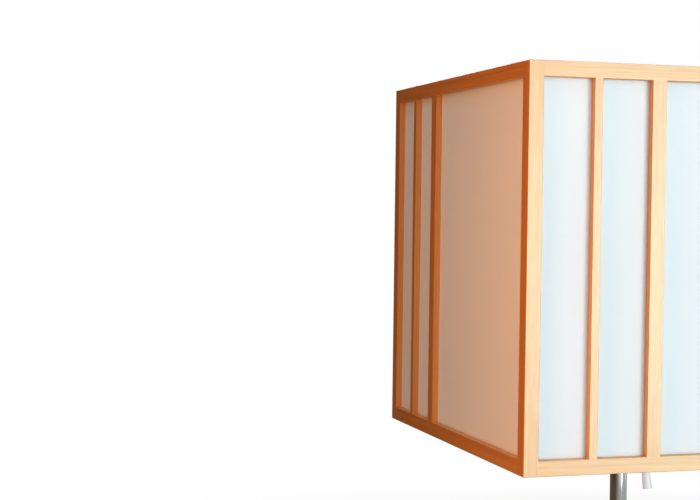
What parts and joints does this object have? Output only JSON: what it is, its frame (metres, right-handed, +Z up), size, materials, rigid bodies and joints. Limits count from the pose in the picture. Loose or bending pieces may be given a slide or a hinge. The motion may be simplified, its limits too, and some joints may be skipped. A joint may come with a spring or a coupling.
{
  "type": "shoji-style table lamp",
  "caption": "Table lamp with a square wood-framed box shade, white panels behind upright bars, a pull switch, and a slim metal pole on a weighted round base.",
  "frame": {"origin": "centre of the base's underside, on the lamp's axis, where it stands on the table", "axes": "+Z up along the pole; the front face of the shade looks along -Y; the pull cord hangs on the +X side"},
  "size_m": [0.408, 0.408, 0.63],
  "materials": {
    "shade_wood": "satin lacquer over a fine straight grain",
    "panel_white": "smooth translucent white, low gloss",
    "chrome": "polished",
    "plain_steel": "zinc plated",
    "white_paint": "white powder coat",
    "cast_iron": "as cast, dipped black",
    "felt": "dark felt",
    "black_plastic": "moulded, satin",
    "brass": "bright",
    "porcelain": "white glaze",
    "bulb_opal": "opal globe on a plated screw cap",
    "pull_cord": "braided white cord",
    "white_plastic": "moulded, glossy"
  },
  "bodies": {
    "lamp": {"corner_post_front_left": "shade_wood", "corner_post_front_right": "shade_wood", "corner_post_back_right": "shade_wood", "corner_post_back_left": "shade_wood", "top_rail_front": "shade_wood", "top_rail_right": "shade_wood", "top_rail_back": "shade_wood", "top_rail_left": "shade_wood", "bottom_rail_front": "shade_wood", "bottom_rail_right": "shade_wood", "bottom_rail_back": "shade_wood", "bottom_rail_left": "shade_wood", "narrow_bar_front": "shade_wood", "narrow_bar_right": "shade_wood", "narrow_bar_back": "shade_wood", "narrow_bar_left": "shade_wood", "wide_bar_front": "shade_wood", "wide_bar_right": "shade_wood", "wide_bar_back": "shade_wood", "wide_bar_left": "shade_wood", "panel_front": "panel_white", "panel_right": "panel_white", "panel_back": "panel_white", "panel_left": "panel_white", "base_pad": "felt", "base_cover": "chrome", "base_weight": "cast_iron", "cord_inlet": "black_plastic", "pole_neck": "chrome", "pole": "chrome", "pole_cap": "chrome", "lamp_pipe": "plain_steel", "pipe_washer": "plain_steel", "pipe_nut": "plain_steel", "hub_nut": "plain_steel", "shade_carrier": "white_paint", "carrier_screws": "plain_steel", "pull_switch": "black_plastic", "switch_bushing": "brass", "switch_nut": "brass", "switch_cover": "chrome", "spacer_tube": "chrome", "holder_cap": "chrome", "holder_body": "porcelain", "screw_shell": "brass", "holder_contact": "brass", "bulb": "bulb_opal"},
    "pull": {"pull_cord": "pull_cord", "pull_knob": "white_plastic"}
  },
  "joints": [
    {"name": "pull_switch_travel", "type": "slide", "parent": "lamp", "child": "pull", "axis": [0, 0, -1], "range_m": [0, 0.005], "stiffness_N_per_m": 500, "springref_m": -0.004}
  ]
}
